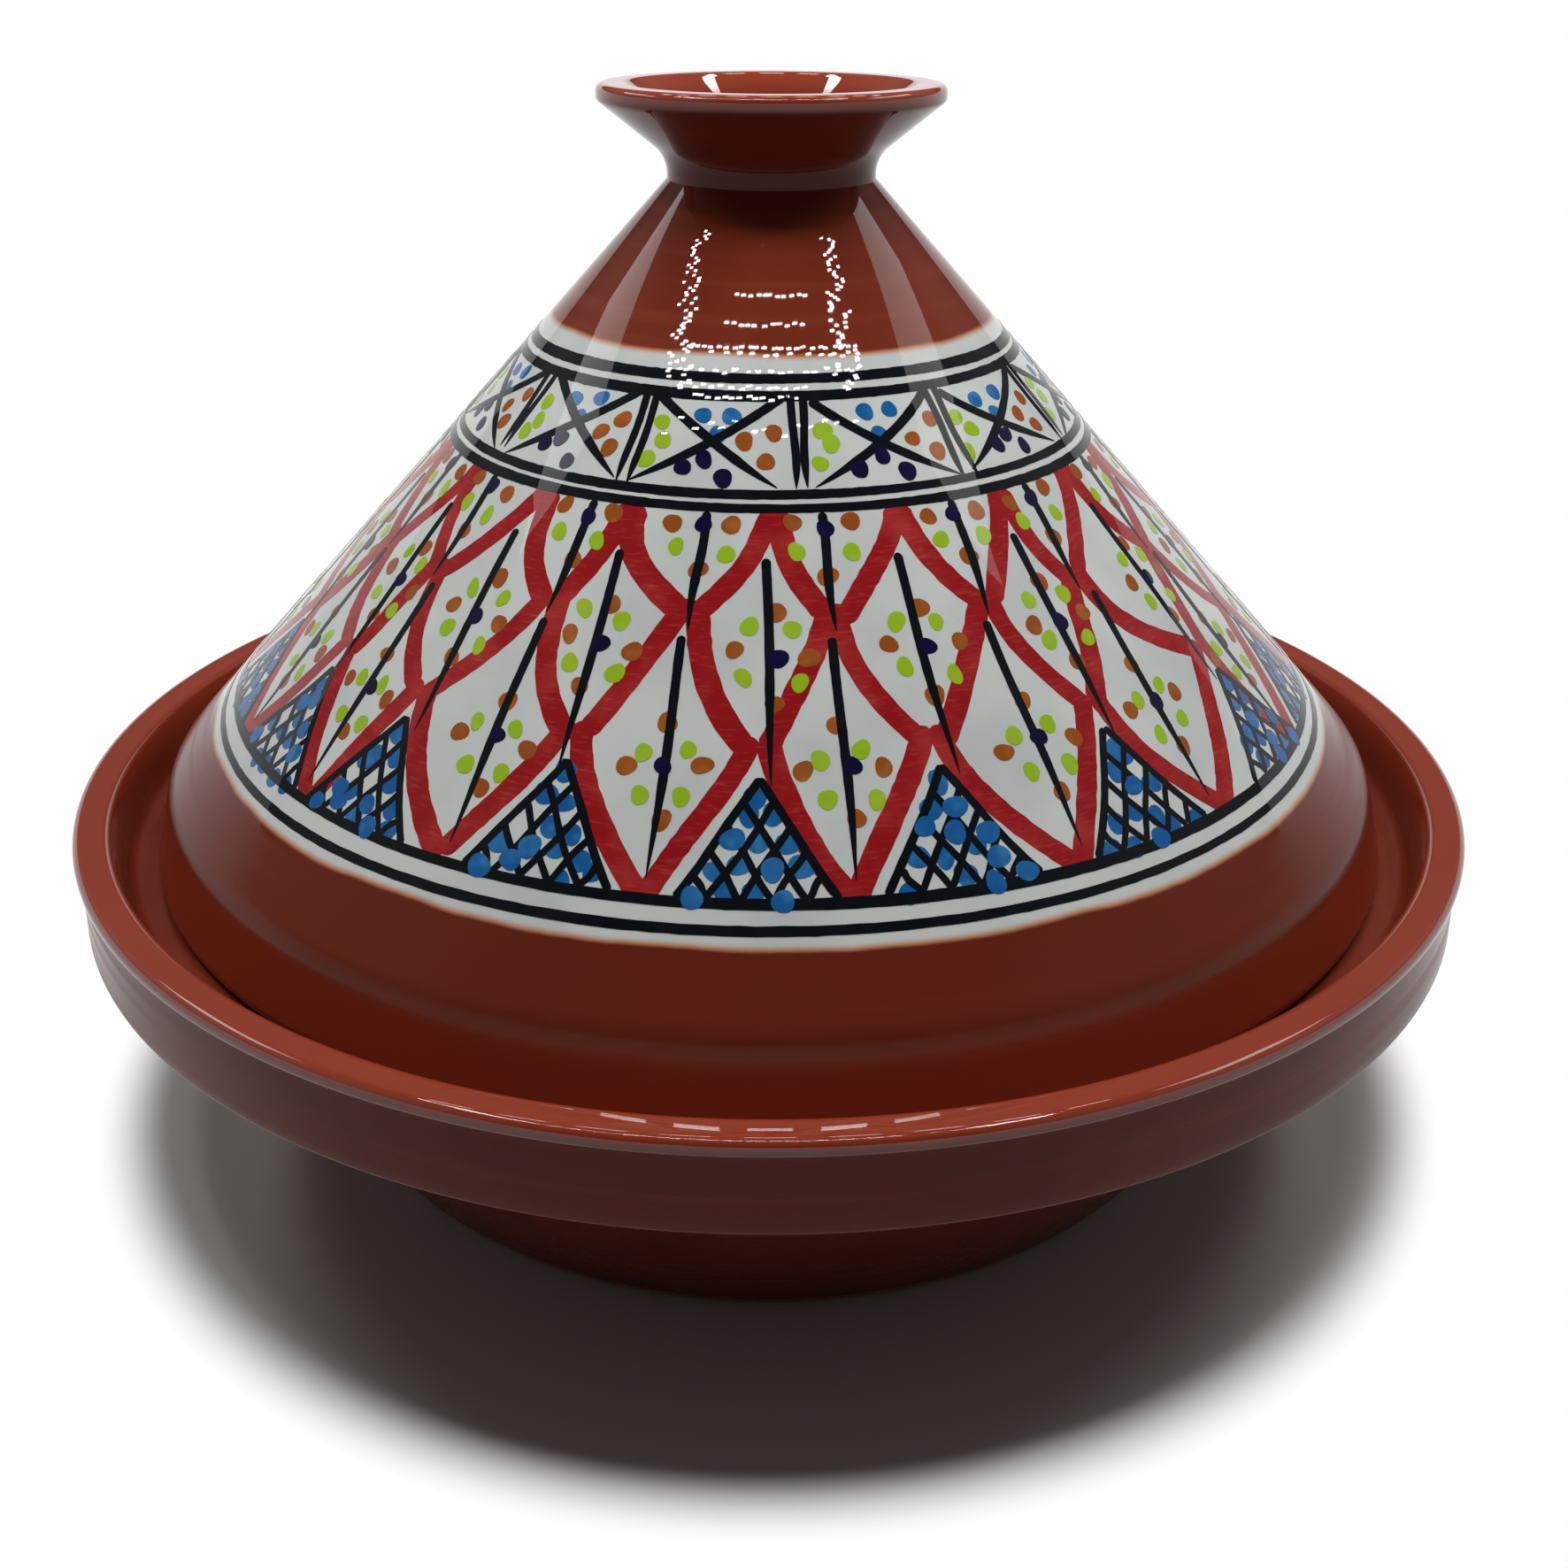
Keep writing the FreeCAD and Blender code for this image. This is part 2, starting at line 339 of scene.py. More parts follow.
# Bands of the painting, by their radius on the cone
BROWN_ENDS = 47.5 * MM
TOP_LINES = [(51.3 * MM, 2.3 * MM), (53.6 * MM, 2.2 * MM)]
MIDDLE_LINES = [(67.9 * MM, 1.9 * MM), (70.2 * MM, 2.0 * MM)]
BOTTOM_LINES = [(122.2 * MM, 2.1 * MM), (125.4 * MM, 1.8 * MM)]
BROWN_STARTS = 128.0 * MM
RISE = {"red": 0.03 * MM, "amber": 0.05 * MM, "green": 0.06 * MM, "blue": 0.05 * MM,
        "black": 0.08 * MM, "navy": 0.10 * MM}
OVER_BLACK = 0.10 * MM
LINE_STEPS = 300
LINE_SWAY = 0.22 * MM
LINE_SHAKE = 0.03 * MM
LINE_SWELL = 0.08
paints = {name: bmesh.new() for name in RISE}


def jitter(amount):
    """A random step of up to this amount, either way."""
    return random.uniform(-amount, amount)


def dab(paint, angle, radius, size, tall=1.0, rise=None):
    """One dab in the usual hand: nearly in its place and nearly round."""
    wide = size * random.uniform(*HAND_SPREAD)
    high = size * tall * random.uniform(*HAND_SPREAD)
    dabbed(paints[paint], angle + math.degrees(jitter(HAND_MISS) / radius), radius + jitter(HAND_MISS),
           wide, high, rise or RISE[paint])


def stroke(paint, start, end, width, drawn_out=0.0, hang=1.0, waver=HAND_WAVER):
    """One stroke between two places; drawn_out is the share of it that narrows to a point."""
    middle = (start[1] + end[1]) / 2
    length = math.hypot(math.radians(end[0] - start[0]) * middle, (end[1] - start[1]) / CONE_UP)
    shares = stroke_shares(length, width, not drawn_out)
    path = wavered(curve_between(start, end, shares, hang), shares, waver)
    brushed(paints[paint], path, tapered(shares, length, width, drawn_out), RISE[paint])


def banding_line(radius, width):
    """A line run round the lid on the turntable."""
    path = []
    widths = []
    lean = random.uniform(0, FULL_TURN)
    for i in range(LINE_STEPS):
        turn = 2 * math.pi * i / LINE_STEPS
        place = radius + LINE_SWAY * math.sin(turn + lean) + jitter(LINE_SHAKE)
        path.append((360.0 * i / LINE_STEPS, place))
        widths.append(width * (1 + LINE_SWELL * math.sin(3 * turn + lean) + jitter(RAGGED)))
    brushed(paints["black"], path, widths, RISE["black"], closed=True)


# The frieze of crossed panels
PANELS = 12
PANEL_PITCH = 360 / PANELS
PANEL_START = 5.0
PANEL_TOP = TOP_LINES[-1][0] + 0.6 * MM
PANEL_FOOT = MIDDLE_LINES[0][0] - 0.4 * MM
PANEL_DABS = {
    "blue": [(-2.6, 56.8), (3.4, 56.4), (0.2, 59.6)],
    "navy": [(-1.0, 62.8), (-5.0, 64.6), (2.6, 65.9)],
    "green": [(-10.6, 58.6), (-9.4, 61.2), (-11.6, 63.8)],
    "amber": [(10.8, 58.8), (6.4, 60.8), (9.6, 63.2)],
}
PANEL_DAB = 3.5 * MM
PANEL_DAB_TALL = 1.05
DIVIDER_SIDES = (-1.1, 1.3)
DIVIDER_WIDTH = 1.6 * MM
DIVIDER_POINT = 0.25
CROSS_INSET = 2.2
CROSS_WIDTH = 1.9 * MM
CROSS_POINT = 0.3


def paint_panel(number):
    """One panel: its double divider, its cross, and three dabs in each corner of the cross."""
    left = PANEL_START + PANEL_PITCH * (number - 1)
    centre = left + PANEL_PITCH / 2 + jitter(0.8)
    for side in DIVIDER_SIDES:
        top = (left + side + jitter(0.4), PANEL_TOP - 0.8 * MM)
        foot = (left + side + jitter(0.7), PANEL_FOOT + jitter(0.8 * MM))
        stroke("black", top, foot, DIVIDER_WIDTH, DIVIDER_POINT)
    reach = PANEL_PITCH / 2 - CROSS_INSET
    for side in (-1, 1):
        top = (centre - side * (reach + jitter(0.6)), PANEL_TOP + jitter(0.5 * MM))
        foot = (centre + side * (reach + jitter(1.2)), PANEL_FOOT - 0.3 * MM + jitter(0.4 * MM))
        stroke("black", top, foot, CROSS_WIDTH, CROSS_POINT, hang=1.0 + jitter(0.12))
    for paint, places in PANEL_DABS.items():
        for angle, radius in places:
            dab(paint, centre + angle + jitter(0.5), radius * MM, PANEL_DAB, PANEL_DAB_TALL)


# The net of red pointed ovals, drawn row by row from the middle lines down
COLUMNS = 19
COLUMN_PITCH = 360 / COLUMNS
COLUMN_START = -0.6
KNOT_RADII = [71.4 * MM, 85.4 * MM, 102.4 * MM, 121.6 * MM]
RED_WIDTH = 4.5 * MM
KNOT_SPREADS = (0.9 * MM, 1.1 * MM, 1.3 * MM, 0.2 * MM)
FALLING_HANGS = (2.1, 2.1, 1.5)
RISING_HANGS = (1.3, 1.1, 1.0)
RED_WAVER = 0.4 * MM
RED_OVERLAP = 1.7 * MM
RED_REACH = (-0.2, 1.0)
KNOT_SLIP = 1.4
KNOT_DRIFT = 0.8 * MM
# How far the knots that face the camera stray from even spacing, in degrees, measured in the photo
FIRST_SLIP = -3
HAND_SLIPS = [
    (0.0, 0.5, -2.5, 1.5, 1.5, 1.5, 1.0),
    (-3.0, 0.0, 0.0, -1.0, 1.0, -2.0, 0.0),
    (-0.5, -3.0, -1.0, -0.5, -1.5, -0.5, 4.0),
    (-0.5, -1.0, -1.0, -2.0, 0.0, 0.0, 0.0),
]


def net_knots():
    """Places where the red strokes meet, row by row, each half a column from the row above."""
    rows = []
    for level, radius in enumerate(KNOT_RADII):
        slips = [jitter(KNOT_SLIP) for k in range(COLUMNS)]
        for k, slip in enumerate(HAND_SLIPS[level]):
            slips[(k + FIRST_SLIP) % COLUMNS] = slip
        shift = COLUMN_START + COLUMN_PITCH / 2 * (level % 2)
        rows.append([(shift + COLUMN_PITCH * k + slips[k], radius + jitter(KNOT_DRIFT))
                     for k in range(COLUMNS)])
    return rows


def knot(row, column):
    """A knot of the net, past the last column too."""
    angle, radius = row[column % COLUMNS]
    return angle + 360 * (column // COLUMNS), radius


def paint_net(rows):
    """Pairs of strokes from each knot down to the two below; paired ends lie side by side."""
    for level in range(len(rows) - 1):
        for k in range(COLUMNS):
            top = knot(rows[level], k)
            right = knot(rows[level + 1], k if level % 2 == 0 else k + 1)
            left = knot(rows[level + 1], k - 1 if level % 2 == 0 else k)
            falling, rising = FALLING_HANGS[level], RISING_HANGS[level]
            for side, end, hang in ((1, right, falling), (-1, left, rising)):
                width = RED_WIDTH * random.uniform(*HAND_SPREAD)
                apart = math.degrees(side * KNOT_SPREADS[level] / top[1])
                together = math.degrees(side * KNOT_SPREADS[level + 1] / end[1])
                start = (top[0] + apart, top[1] - RED_OVERLAP)
                finish = (end[0] - together, end[1] + random.uniform(*RED_REACH) * MM)
                stroke("red", start, finish, width, hang=hang, waver=RED_WAVER)


# Sprigs: stems as (top, foot), and dabs of each colour as (size, how tall for their width)
HALF_STEM = (MIDDLE_LINES[1][0] + 0.4 * MM, 87.2 * MM)
UPPER_STEM = (77.0 * MM, 107.4 * MM)
LOWER_STEM = (88.0 * MM, 119.6 * MM)
STEM_WIDTH = 1.8 * MM
STEM_POINT = 0.4
STEM_LEAN = 0.8
SPRIG_DABS = {"navy": (3.5 * MM, 1.0), "amber": (3.8 * MM, 1.0), "green": (3.3 * MM, 1.2)}
SPRIG_MISS = 0.35


def paint_sprig(centre, top, foot, dabs):
    """A leaf vein with its dabs: a tapering black stem, a navy heart, green and amber dots."""
    lean = jitter(STEM_LEAN)
    stroke("black", (centre + lean, top), (centre - lean / 2, foot), STEM_WIDTH, STEM_POINT)
    for paint, places in dabs.items():
        size, tall = SPRIG_DABS[paint]
        for angle, radius in places:
            dab(paint, centre + angle + jitter(SPRIG_MISS), radius * MM, size, tall)


HALF_OVAL_DABS = {
    "navy": [(0.2, 72.8)],
    "amber": [(-4.4, 72.4), (4.4, 72.4), (0.2, 79.2)],
    "green": [(-3.7, 76.2), (3.6, 76.4)],
}
UPPER_OVAL_DABS = {
    "navy": [(0.7, 90.2)],
    "amber": [(0.8, 84.6), (-4.0, 89.6), (4.6, 90.4), (0.0, 96.6)],
    "green": [(-2.6, 86.2), (3.0, 87.2), (-2.6, 93.0), (3.0, 94.2)],
}
LOWER_OVAL_DABS = {
    "navy": [(0.5, 105.0)],
    "amber": [(-0.2, 99.6), (-4.2, 105.4), (4.0, 105.4), (0.6, 112.0)],
    "green": [(-2.3, 104.0), (2.0, 103.2), (-1.9, 109.2), (2.4, 109.4)],
}


# The cross-hatched triangles between the lowest tips of the net
HATCH_LINES = 5
HATCH_SPREAD = 7.0
HATCH_TOP = 3.6 * MM
HATCH_SIDE_WIDTH = 1.6 * MM
HATCH_LINE_WIDTH = 1.35 * MM
HATCH_DAB = 4.3 * MM
HATCH_MISS = 0.06
DABS_MISSING = 0.08
DABS_ON_TOP = 0.3


def paint_hatching(crossing):
    """A triangle under a crossing of the net, hatched both ways and dotted with blue."""
    apex_angle, crossing_radius = crossing
    apex = crossing_radius + HATCH_TOP
    foot = BOTTOM_LINES[0][0] - 0.4 * MM

    def place(across, down):
        return apex_angle + across * HATCH_SPREAD, apex + (foot - apex) * down

    for side in (-1, 1):
        stroke("black", place(0, 0), place(side, 1), HATCH_SIDE_WIDTH)
        for k in range(1, HATCH_LINES):
            down = k / HATCH_LINES
            first = place(-side * down, down)
            last = place(side * (1 - 2 * down), 1.0 + jitter(0.02))
            stroke("black", first, last, HATCH_LINE_WIDTH)
    for row in range(1, HATCH_LINES + 1):
        for k in range(row):
            if random.random() < DABS_MISSING:
                continue
            down = (row - 0.25) / HATCH_LINES
            across = (2 * (k + 0.5) / row - 1) * down
            angle, radius = place(across + jitter(HATCH_MISS), min(1.02, down + jitter(HATCH_MISS)))
            rise = OVER_BLACK if random.random() < DABS_ON_TOP else None
            dab("blue", angle, radius, HATCH_DAB, rise=rise)


def paint_lid():
    """The whole decoration, in the order in which the painter lays it down."""
    for radius, width in TOP_LINES + MIDDLE_LINES + BOTTOM_LINES:
        banding_line(radius, width)
    for number in range(PANELS):
        paint_panel(number)
    rows = net_knots()
    paint_net(rows)
    for k in range(COLUMNS):
        peak, upper, lower, tip = (row[k][0] for row in rows)
        paint_sprig(upper, *HALF_STEM, HALF_OVAL_DABS)
        paint_sprig((peak + lower) / 2, *UPPER_STEM, UPPER_OVAL_DABS)
        paint_sprig((upper + tip) / 2, *LOWER_STEM, LOWER_OVAL_DABS)
        paint_hatching(rows[2][k])


# Shader building blocks
def new_material(name):
    """A new material, with its node tree and its shader."""
    material = bpy.data.materials.new(name)
    material.use_nodes = True
    tree = material.node_tree
    shader = tree.nodes["Principled BSDF"]
    return material, tree, shader


def feed(tree, socket, value):
    """Link a value into a socket, or write a plain one there."""
    if isinstance(value, bpy.types.NodeSocket):
        tree.links.new(value, socket)
    else:
        socket.default_value = value


def add_node(tree, kind, **inputs):
    """A node with some of its inputs set: sockets are linked, values are written."""
    node = tree.nodes.new(kind)
    for key, value in inputs.items():
        feed(tree, node.inputs[key], value)
    return node


def place_in_pot(tree):
    """The pot's own coordinates, in metres."""
    return tree.nodes.new("ShaderNodeTexCoord").outputs["Object"]


def noise(tree, where, scale, detail=3.0, stretch=(1, 1, 1)):
    """Noise in the pot's coordinates, between 0 and 1."""
    mapped = add_node(tree, "ShaderNodeMapping", Vector=where, Scale=stretch)
    made = add_node(tree, "ShaderNodeTexNoise", Vector=mapped.outputs["Vector"], Scale=scale, Detail=detail)
    return made.outputs["Fac"]


def ranged(tree, value, low, high, start=0.0, end=1.0):
    """Smooth change of a value over a range."""
    node = add_node(tree, "ShaderNodeMapRange", Value=value)
    node.interpolation_type = "SMOOTHSTEP"
    for key, number in (("From Min", low), ("From Max", high), ("To Min", start), ("To Max", end)):
        node.inputs[key].default_value = number
    return node.outputs["Result"]


def worked(tree, operation, first, second):
    """Arithmetic on two values."""
    node = tree.nodes.new("ShaderNodeMath")
    node.operation = operation
    feed(tree, node.inputs[0], first)
    feed(tree, node.inputs[1], second)
    return node.outputs[0]


# Where the Mix node keeps its share and its two colours, and the blend
MIX_COLOUR_INPUTS = (0, 6, 7)
MIX_COLOUR_OUTPUT = 2


def mixed(tree, share, first, second):
    """Blend of two colours."""
    node = tree.nodes.new("ShaderNodeMix")
    node.data_type = "RGBA"
    for socket, value in zip(MIX_COLOUR_INPUTS, (share, first, second)):
        feed(tree, node.inputs[socket], value)
    return node.outputs[MIX_COLOUR_OUTPUT]


def level_of(tree, where):
    """Height above the table."""
    return add_node(tree, "ShaderNodeSeparateXYZ", Vector=where).outputs["Z"]


def wobbled_level(tree, where, scale, detail, amount):
    """Height above the table, wavering by up to half the amount."""
    wave = worked(tree, "SUBTRACT", noise(tree, where, scale, detail), 0.5)
    return worked(tree, "ADD", level_of(tree, where), worked(tree, "MULTIPLY", wave, amount))


def brown_glaze(tree, where, thin):
    """Clear glaze over red clay: faint streaks from the wheel, and a lighter brown where the glaze runs
    thin on a rim and, at the lid's lip, as painted light.
    """
    clouds = ranged(tree, noise(tree, where, 34.0), 0.35, 0.75, 0.0, 0.5)
    base = mixed(tree, clouds, BROWN_GLAZE, BROWN_DARK)
    streaks = ranged(tree, noise(tree, where, 5.0, 2.0, (1, 1, 70)), 0.5, 0.8, 0.0, 0.3)
    streaked = mixed(tree, streaks, base, BROWN_LIGHT)
    specks = ranged(tree, noise(tree, where, 800.0, 1.0), 0.72, 0.8, 0.0, 0.4)
    return mixed(tree, thin, mixed(tree, specks, streaked, BROWN_DARK), BROWN_THIN_AND_LIT)


def glaze_skin(tree, shader, where, satin=0.0):
    """Gloss of a dipped glaze, with a very fine orange peel; satin dulls it where it is 1."""
    peel = noise(tree, where, 420.0, 2.0)
    bump = add_node(tree, "ShaderNodeBump", Height=peel, Distance=PEEL_DEPTH)
    tree.links.new(bump.outputs["Normal"], shader.inputs["Normal"])
    bright = ranged(tree, noise(tree, where, 60.0), 0.3, 0.7, *BRIGHT_ROUGHNESS)
    drag = ranged(tree, noise(tree, where, 6.0, 2.0, (1, 1, 60)), 0.3, 0.7, *SATIN_ROUGHNESS)
    rough = worked(tree, "ADD", bright, worked(tree, "MULTIPLY", drag, satin))
    tree.links.new(rough, shader.inputs["Roughness"])
    shader.inputs["IOR"].default_value = GLAZE_IOR
    shader.inputs["Specular IOR Level"].default_value = DULL_SHINE


def shine_at_rim(tree, shader, level, rim):
    """More shine on a rolled rim, where the glaze lies clear and thin."""
    shine = ranged(tree, level, rim - 4 * MM, rim - 1.5 * MM, DULL_SHINE, RIM_SHINE)
    tree.links.new(shine, shader.inputs["Specular IOR Level"])


DULL_SHINE = 0.12
GLAZE_IOR = 1.5
PEEL_DEPTH = 0.0003 * MM
BRIGHT_ROUGHNESS = (0.006, 0.016)
SATIN_ROUGHNESS = (0.16, 0.3)
BORDER_BLUR = 0.35 * MM
BORDER_STAIN = 1.1 * MM
BORDER_WOBBLE = 2.2 * MM
BARE_FOOT = 2.6 * MM
FOOT_BLUR = 0.4 * MM
FOOT_WOBBLE = 1.6 * MM
RIM_SHINE = 0.5
# Painted light: below LIP_TOP the lid is painted a lighter brown.
LIP_TOP = 88.0 * MM
LIP_FADE = 5.0 * MM


def lid_material():
    """Brown glaze above and below a broad band of white slip."""
    material, tree, shader = new_material("lid_glaze")
    where = place_in_pot(tree)
    level = wobbled_level(tree, where, 28.0, 4.0, BORDER_WOBBLE)
    top, foot = cone_level(BROWN_ENDS), cone_level(BROWN_STARTS)
    inside = worked(tree, "MULTIPLY", ranged(tree, level, foot - BORDER_BLUR, foot + BORDER_BLUR),
                    ranged(tree, level, top - BORDER_BLUR, top + BORDER_BLUR, 1.0, 0.0))
    clean = worked(tree, "MULTIPLY", ranged(tree, level, foot, foot + BORDER_STAIN),
                   ranged(tree, level, top - BORDER_STAIN, top, 1.0, 0.0))
    cloudy = mixed(tree, ranged(tree, noise(tree, where, 45.0), 0.35, 0.75), WHITE_SLIP, WHITE_SHADE)
    pits = ranged(tree, noise(tree, where, 1300.0, 1.0), 0.76, 0.82)
    white = mixed(tree, worked(tree, "MULTIPLY", pits, 0.25), cloudy, EDGE_STAIN)
    stained = mixed(tree, clean, EDGE_STAIN, white)
    # Painted light: the lid's lip, low by the dish's rim, is painted a lighter brown in place of light
    # thrown back from the dish.
    thin = ranged(tree, level, LIP_TOP - LIP_FADE, LIP_TOP, 0.9, 0.0)
    # Painted shade: the brown below the white band is painted darker than the brown above it.
    painted_band_shade = ranged(tree, level, foot, top, 0.8, 0.0)
    brown = mixed(tree, worked(tree, "SUBTRACT", painted_band_shade, thin), brown_glaze(tree, where, thin), BROWN_DARK)
    tree.links.new(mixed(tree, inside, brown, stained), shader.inputs["Base Color"])
    glaze_skin(tree, shader, where, ranged(tree, level, foot - 2 * MM, foot, 1.0, 0.0))
    return material


def knob_material():
    """Brown glaze all over, thin on the rim."""
    material, tree, shader = new_material("knob_glaze")
    where = place_in_pot(tree)
    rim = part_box("lid_knob")[1][2]
    level = level_of(tree, where)
    thin = ranged(tree, level, rim - 4 * MM, rim - 1 * MM, 0.0, 0.6)
    tree.links.new(brown_glaze(tree, where, thin), shader.inputs["Base Color"])
    glaze_skin(tree, shader, where)
    shine_at_rim(tree, shader, level, rim)
    return material


def dish_material():
    """Brown glaze that stops short of a bare clay foot."""
    material, tree, shader = new_material("dish_glaze")
    where = place_in_pot(tree)
    level = wobbled_level(tree, where, 30.0, 3.0, FOOT_WOBBLE)
    glazed = ranged(tree, level, BARE_FOOT - FOOT_BLUR, BARE_FOOT + FOOT_BLUR)
    clay = mixed(tree, noise(tree, where, 160.0, 4.0), BARE_CLAY, BARE_CLAY_DARK)
    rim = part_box("base_dish")[1][2]
    thin = ranged(tree, level, rim - 6 * MM, rim - 2 * MM, 0.0, 0.6)
    tree.links.new(mixed(tree, glazed, clay, brown_glaze(tree, where, thin)), shader.inputs["Base Color"])
    glaze_skin(tree, shader, where, ranged(tree, level, rim - 5 * MM, rim - 3 * MM, 1.0, 0.0))
    shine_at_rim(tree, shader, level, rim)
    return material


def paint_material(name, full, thin, streak, contrast):
    """Enamel brushed on under the glaze: thick and thin patches and fine brush streaks."""
    material, tree, shader = new_material("paint_" + name)
    where = place_in_pot(tree)
    patches = ranged(tree, noise(tree, where, 95.0, 3.0), 0.42, 0.78)
    hairs = ranged(tree, noise(tree, where, 260.0, 2.0, streak), 0.5, 0.8)
    share = worked(tree, "MULTIPLY", worked(tree, "ADD", patches, hairs), contrast)
    tree.links.new(mixed(tree, share, full, thin), shader.inputs["Base Color"])
    glaze_skin(tree, shader, where)
    return material


# Dressing the three pieces: how fine their meshes are, along the section and round the axis
LEAST_STEP = 0.25 * MM
KNOB_LEAST_STEP = 0.2 * MM
LID_STEP = 1.3 * MM
KNOB_STEP = 1.2 * MM
DISH_STEP = 2.0 * MM
ROUND_STEPS = 240
KNOB_ROUND_STEPS = 144
PAINT_SHARP = 60


def dress(piece, body, material, node=None):
    """Give a piece its material, its body and the node that it stands in for."""
    piece.data.materials.append(material)
    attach(piece, body)
    if node:
        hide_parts(node)


def axis_to_axis(node, least, step):
    """Section of a solid that closes on the axis at both ends, in even steps."""
    ring = outline_of(node)
    return resampled([(0.0, ring[0][1])] + thinned(ring, least) + [(0.0, ring[-1][1])], step)


def build_lid():
    ring = resampled(thinned(lid_ring, LEAST_STEP), LID_STEP)
    cone = spun("lid_cone_glazed", ring, True, ROUND_STEPS)
    dress(cone, "lid", lid_material(), "lid_cone")


def build_knob():
    ring = axis_to_axis("lid_knob", KNOB_LEAST_STEP, KNOB_STEP)
    knob = spun("lid_knob_glazed", ring, False, KNOB_ROUND_STEPS)
    dress(knob, "lid", knob_material(), "lid_knob")


def build_dish():
    ring = axis_to_axis("base_dish", LEAST_STEP, DISH_STEP)
    dish = spun("base_dish_glazed", ring, False, ROUND_STEPS)
    dress(dish, "dish", dish_material(), "base_dish")


PAINT_LOOKS = {
    "red": (RED_PAINT, RED_THIN, (1, 1, 9), 0.5),
    "black": (BLACK_PAINT, BLACK_THIN, (1, 1, 1), 0.3),
    "navy": (NAVY_PAINT, NAVY_THIN, (1, 1, 1), 0.3),
    "blue": (BLUE_PAINT, BLUE_THIN, (1, 1, 1), 0.45),
    "green": (GREEN_PAINT, GREEN_THIN, (1, 1, 1), 0.4),
    "amber": (AMBER_PAINT, AMBER_THIN, (1, 1, 1), 0.4),
}


def build_painting():
    """The painted layers, one piece for each colour."""
    paint_lid()
    for name, layer in paints.items():
        mesh = bpy.data.meshes.new("paint_" + name)
        layer.to_mesh(mesh)
        layer.free()
        piece = finished("lid_paint_" + name, mesh, PAINT_SHARP)
        dress(piece, "lid", paint_material(name, *PAINT_LOOKS[name]))


build_lid()
build_knob()
build_dish()
build_painting()


# Stage: a pale sweep that keeps the pot's shadow and is white away from it
SWEEP_MIDDLE = 0.3
SWEEP_FLAT = 2.2
SWEEP_BEND = 0.8
SWEEP_TOP = 0.95
SHADE_ENDS = 0.150
WHITE_STARTS = 0.168
BEND_STEPS = 8
SWEEP_ROUND_STEPS = 96
FLOOR_COLOUR = colour(176, 173, 169)


def build_floor():
    """A floor that turns up into a backdrop all round."""
    ring = [(0.0, 0.0), (SWEEP_MIDDLE, 0.0), (SWEEP_FLAT, 0.0)]
    for step in range(1, BEND_STEPS + 1):
        turn = math.radians(90 * step / BEND_STEPS)
        ring.append((SWEEP_FLAT + SWEEP_BEND * math.sin(turn), SWEEP_BEND * (1 - math.cos(turn))))
    ring.append((SWEEP_FLAT + SWEEP_BEND, SWEEP_TOP))
    floor = spun("floor", ring, False, SWEEP_ROUND_STEPS)
    material, tree, shader = new_material("floor")
    shader.inputs["Base Color"].default_value = FLOOR_COLOUR
    shader.inputs["Roughness"].default_value = 1.0
    shader.inputs["Specular IOR Level"].default_value = 0.0
    where = place_in_pot(tree)
    reach = tree.nodes.new("ShaderNodeVectorMath")
    reach.operation = "LENGTH"
    tree.links.new(where, reach.inputs[0])
    away = ranged(tree, reach.outputs["Value"], SHADE_ENDS, WHITE_STARTS)
    path = tree.nodes.new("ShaderNodeLightPath")
    through = worked(tree, "MAXIMUM", path.outputs["Is Glossy Ray"], path.outputs["Is Transmission Ray"])
    seen = worked(tree, "MAXIMUM", path.outputs["Is Camera Ray"], through)
    white = add_node(tree, "ShaderNodeEmission", Color=(1, 1, 1, 1), Strength=1.0)
    blend = tree.nodes.new("ShaderNodeMixShader")
    tree.links.new(worked(tree, "MULTIPLY", away, seen), blend.inputs[0])
    tree.links.new(shader.outputs[0], blend.inputs[1])
    tree.links.new(white.outputs[0], blend.inputs[2])
    tree.links.new(blend.outputs[0], tree.nodes["Material Output"].inputs["Surface"])
    floor.data.materials.append(material)


# Light tent: how bright its sides, back, top and the rest are
TENT_SIDES = 0.45
TENT_BACK = 0.18
TENT_TOP = 0.06
TENT_REST = 0.012
TENT_COLOUR = (1, 0.985, 0.965, 1)


def build_world():
    """A pale tent round the pot: light at the sides and behind, dim where the camera looks in."""
    world = bpy.data.worlds.new("tent")
    bpy.context.scene.world = world
    world.use_nodes = True
    tree = world.node_tree
    background = tree.nodes["Background"]
    direction = tree.nodes.new("ShaderNodeTexCoord").outputs["Generated"]
    axes = add_node(tree, "ShaderNodeSeparateXYZ", Vector=direction)
    side = ranged(tree, worked(tree, "ABSOLUTE", axes.outputs["X"], 0.0), 0.35, 0.95, 0.0, TENT_SIDES)
    behind = ranged(tree, axes.outputs["Y"], 0.0, 0.8, 0.0, TENT_BACK)
    above = ranged(tree, axes.outputs["Z"], 0.6, 1.0, 0.0, TENT_TOP)
    raised = ranged(tree, axes.outputs["Z"], 0.1, 0.55)
    walls = worked(tree, "MULTIPLY", worked(tree, "ADD", side, behind), raised)
    tent = worked(tree, "ADD", walls, worked(tree, "ADD", above, TENT_REST))
    tree.links.new(tent, background.inputs["Strength"])
    background.inputs["Color"].default_value = TENT_COLOUR


# The photograph's camera, with its angles in degrees
CAMERA_PLACE = Vector((0, -0.3959, 0.2591))
CAMERA_PITCH = 25.487
CAMERA_YAW = 0.476
CAMERA_ROLL = 0.286
CAMERA_LENS = 40.93
CAMERA_SENSOR = 36
# Lamps, which all hang at one level
LAMP_LEVEL = 0.70
LAMP_COLOUR = (1.0, 0.98, 0.96)
